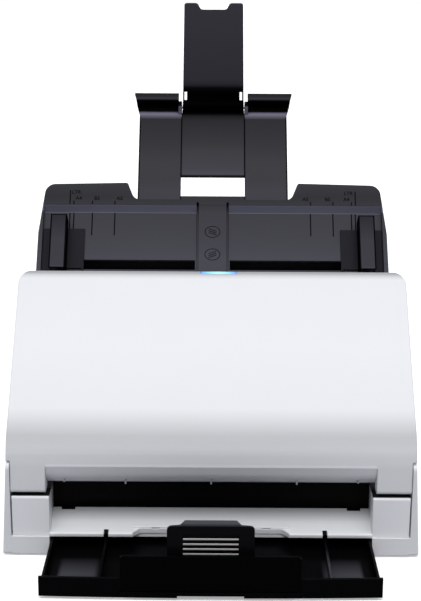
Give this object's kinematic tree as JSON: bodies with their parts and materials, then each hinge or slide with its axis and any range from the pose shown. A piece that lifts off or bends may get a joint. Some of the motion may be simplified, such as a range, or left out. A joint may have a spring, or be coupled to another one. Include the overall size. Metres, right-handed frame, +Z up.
{
  "type": "sheet fed document scanner",
  "caption": "Upright sheet fed document scanner with a leaning feed tray, sliding guides, flip-up support, opening front unit and pull-out eject tray.",
  "frame": {"origin": "on the table under the middle of the whole object as it stands with its trays out", "axes": "+Z up, +Y from the front to the back, +X to the right seen from the front"},
  "size_m": [0.291, 0.3292, 0.3648],
  "materials": {
    "white_plastic": "fine spark-eroded satin white",
    "black_plastic": "fine textured black",
    "guide_plastic": "smooth dark",
    "gloss_black": "gloss black",
    "light_lens": "clear blue light bar",
    "key_plastic": "grey key",
    "steel": "drawn steel",
    "rubber_grey": "ground rubber",
    "bush_plastic": "natural acetal",
    "sensor_glass": "clear glass",
    "board_green": "printed board",
    "motor_metal": "plated steel",
    "belt_rubber": "ribbed belt",
    "cable_white": "flat cable"
  },
  "bodies": {
    "base": {"rear_cover": "white_plastic", "side_cover_left": "white_plastic", "side_cover_right": "white_plastic", "side_frame_left": "steel", "side_frame_right": "steel", "hinge_pins": "steel", "power_jack": "gloss_black", "usb_port": "gloss_black", "base_pan": "black_plastic", "feet": "rubber_grey", "exit_guide": "white_plastic", "chassis": "black_plastic", "shaft_bushes": "bush_plastic", "lower_guide": "black_plastic", "lower_sensor": "gloss_black", "lower_sensor_glass": "sensor_glass", "sensor_bracket": "steel", "transfer_belt": "belt_rubber", "drive_belt": "belt_rubber", "motor": "motor_metal", "main_board": "board_green", "sensor_cable": "cable_white", "case_screws": "steel", "feed_tray": "black_plastic", "tray_back": "black_plastic"},
    "front_unit": {"front_cover": "white_plastic", "status_light": "light_lens", "inner_guide": "black_plastic", "upper_sensor": "gloss_black", "upper_sensor_glass": "sensor_glass", "retard_holder": "black_plastic"},
    "latch": {"latch_shaft": "steel", "latch_arms": "black_plastic", "open_lever": "black_plastic"},
    "start_key": {"start_button": "key_plastic"},
    "stop_key": {"stop_button": "key_plastic"},
    "power_key": {"power_button": "key_plastic"},
    "retard_roller": {"retard_shaft": "steel", "retard_tyres": "rubber_grey"},
    "registration_idlers": {"registration_pinch": "steel"},
    "scan_idlers": {"scan_pinch": "steel"},
    "eject_idlers": {"eject_pinch": "steel"},
    "motor_rotor": {"motor_rotor": "steel"},
    "feed_roller": {"feed_shaft": "steel", "feed_tyres": "rubber_grey"},
    "registration_roller": {"registration_shaft": "steel", "registration_tyres": "rubber_grey"},
    "scan_roller": {"scan_shaft": "steel", "scan_tyres": "rubber_grey"},
    "eject_roller": {"eject_shaft": "steel", "eject_tyres": "rubber_grey"},
    "guide_left": {"guide_left": "guide_plastic"},
    "guide_right": {"guide_right": "guide_plastic"},
    "guide_pinion": {"guide_pinion": "bush_plastic"},
    "tray_extension": {"tray_extension": "black_plastic", "flip_pin": "steel"},
    "flip_support": {"flip_support": "black_plastic"},
    "eject_tray": {"eject_tray": "black_plastic"},
    "eject_extension": {"eject_extension": "black_plastic"},
    "eject_stopper": {"eject_stopper": "black_plastic"}
  },
  "joints": [
    {"name": "front_unit_hinge", "type": "hinge", "parent": "base", "child": "front_unit", "pos_m": [0, -0.09243, 0.0525], "axis": [1, 0, 0], "range_deg": [0, 62]},
    {"name": "latch_turn", "type": "hinge", "parent": "front_unit", "child": "latch", "pos_m": [0, -0.01395, 0.1775], "axis": [-1, 0, 0], "range_deg": [0, 8], "stiffness_Nm_per_rad": 0.12},
    {"name": "start_button_press", "type": "slide", "parent": "front_unit", "child": "start_key", "axis": [0, -0.6018, -0.7986], "range_m": [0, 0.0012], "stiffness_N_per_m": 300},
    {"name": "stop_button_press", "type": "slide", "parent": "front_unit", "child": "stop_key", "axis": [0, -0.6018, -0.7986], "range_m": [0, 0.0012], "stiffness_N_per_m": 300},
    {"name": "power_button_press", "type": "slide", "parent": "base", "child": "power_key", "axis": [0, -1, 0], "range_m": [0, 0.0015], "stiffness_N_per_m": 300},
    {"name": "retard_roller_spin", "type": "hinge", "parent": "front_unit", "child": "retard_roller", "pos_m": [0, -0.0119, 0.16394], "axis": [1, 0, 0], "continuous": true},
    {"name": "registration_idler_spin", "type": "hinge", "parent": "front_unit", "child": "registration_idlers", "pos_m": [0, -0.02516, 0.13637], "axis": [1, 0, 0], "continuous": true},
    {"name": "scan_idler_spin", "type": "hinge", "parent": "front_unit", "child": "scan_idlers", "pos_m": [0, -0.05526, 0.09644], "axis": [1, 0, 0], "continuous": true},
    {"name": "eject_idler_spin", "type": "hinge", "parent": "front_unit", "child": "eject_idlers", "pos_m": [0, -0.07451, 0.07088], "axis": [1, 0, 0], "continuous": true},
    {"name": "scan_roller_spin", "type": "hinge", "parent": "base", "child": "scan_roller", "pos_m": [0, -0.04543, 0.08903], "axis": [1, 0, 0], "continuous": true},
    {"name": "feed_roller_spin", "type": "hinge", "parent": "base", "child": "feed_roller", "pos_m": [0, 0.00751, 0.14931], "axis": [1, 0, 0], "continuous": true},
    {"name": "registration_roller_spin", "type": "hinge", "parent": "base", "child": "registration_roller", "pos_m": [0, -0.01534, 0.12896], "axis": [1, 0, 0], "continuous": true},
    {"name": "eject_roller_spin", "type": "hinge", "parent": "base", "child": "eject_roller", "pos_m": [0, -0.06469, 0.06348], "axis": [1, 0, 0], "continuous": true},
    {"name": "motor_spin", "type": "hinge", "parent": "base", "child": "motor_rotor", "pos_m": [0, -0.00043, 0.056], "axis": [1, 0, 0], "continuous": true},
    {"name": "guide_left_slide", "type": "slide", "parent": "base", "child": "guide_left", "axis": [1, 0, 0], "range_m": [0, 0.082]},
    {"name": "guide_right_slide", "type": "slide", "parent": "base", "child": "guide_right", "axis": [-1, 0, 0], "range_m": [0, 0.082]},
    {"name": "guide_pinion_spin", "type": "hinge", "parent": "base", "child": "guide_pinion", "pos_m": [0, 0.01961, 0.1795], "axis": [0, -0.7986, 0.6018], "range_deg": [-1, 588.28]},
    {"name": "tray_extension_slide", "type": "slide", "parent": "base", "child": "tray_extension", "axis": [0, -0.6018, -0.7986], "range_m": [0, 0.045]},
    {"name": "flip_support_hinge", "type": "hinge", "parent": "tray_extension", "child": "flip_support", "pos_m": [0, 0.10496, 0.28811], "axis": [1, 0, 0], "range_deg": [0, 150]},
    {"name": "eject_tray_slide", "type": "slide", "parent": "base", "child": "eject_tray", "axis": [0, 1, 0], "range_m": [0, 0.06]},
    {"name": "eject_extension_slide", "type": "slide", "parent": "eject_tray", "child": "eject_extension", "axis": [0, -1, 0], "range_m": [0, 0.062]},
    {"name": "eject_stopper_hinge", "type": "hinge", "parent": "eject_extension", "child": "eject_stopper", "pos_m": [0, -0.15543, 0.0104], "axis": [-1, 0, 0], "range_deg": [0, 86]}
  ],
  "couplings": [
    {"joint": "feed_roller_spin", "follows": "scan_roller_spin", "ratio": 1},
    {"joint": "registration_roller_spin", "follows": "scan_roller_spin", "ratio": 1},
    {"joint": "eject_roller_spin", "follows": "scan_roller_spin", "ratio": 1},
    {"joint": "motor_spin", "follows": "scan_roller_spin", "ratio": 1},
    {"joint": "guide_right_slide", "follows": "guide_left_slide", "ratio": 1},
    {"joint": "guide_pinion_spin", "follows": "guide_left_slide", "rad_per_m": 125}
  ]
}
